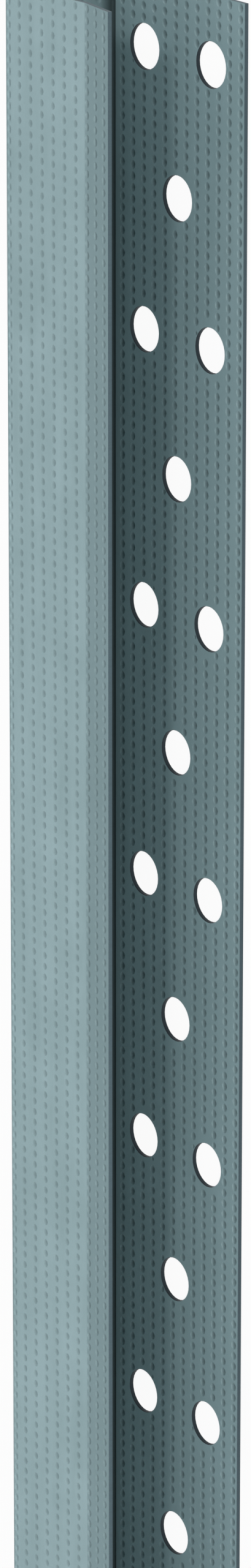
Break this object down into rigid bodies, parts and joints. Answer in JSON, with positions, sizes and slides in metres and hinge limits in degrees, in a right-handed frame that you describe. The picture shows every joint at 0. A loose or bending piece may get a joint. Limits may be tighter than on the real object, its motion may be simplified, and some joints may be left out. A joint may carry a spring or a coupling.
{
  "type": "drywall edge bead",
  "caption": "Long J-section edge bead of thin embossed steel: a wide flange with staggered round holes, a web, and a narrower flange with a flared lip that grips the edge of a wallboard.",
  "frame": {"origin": "middle of the length, under the middle of the width, on the outer face of the perforated flange, which lies on the floor", "axes": "+Y along the bead; +X from the web towards the flanges' free edges, where the channel is open; +Z from the perforated flange towards the plain flange"},
  "size_m": [0.0233, 2.5, 0.0138],
  "materials": {
    "galvanised_steel": "satin zinc coating with fine embossed marks"
  },
  "bodies": {
    "root": {"edge_bead": "galvanised_steel"}
  },
  "joints": []
}
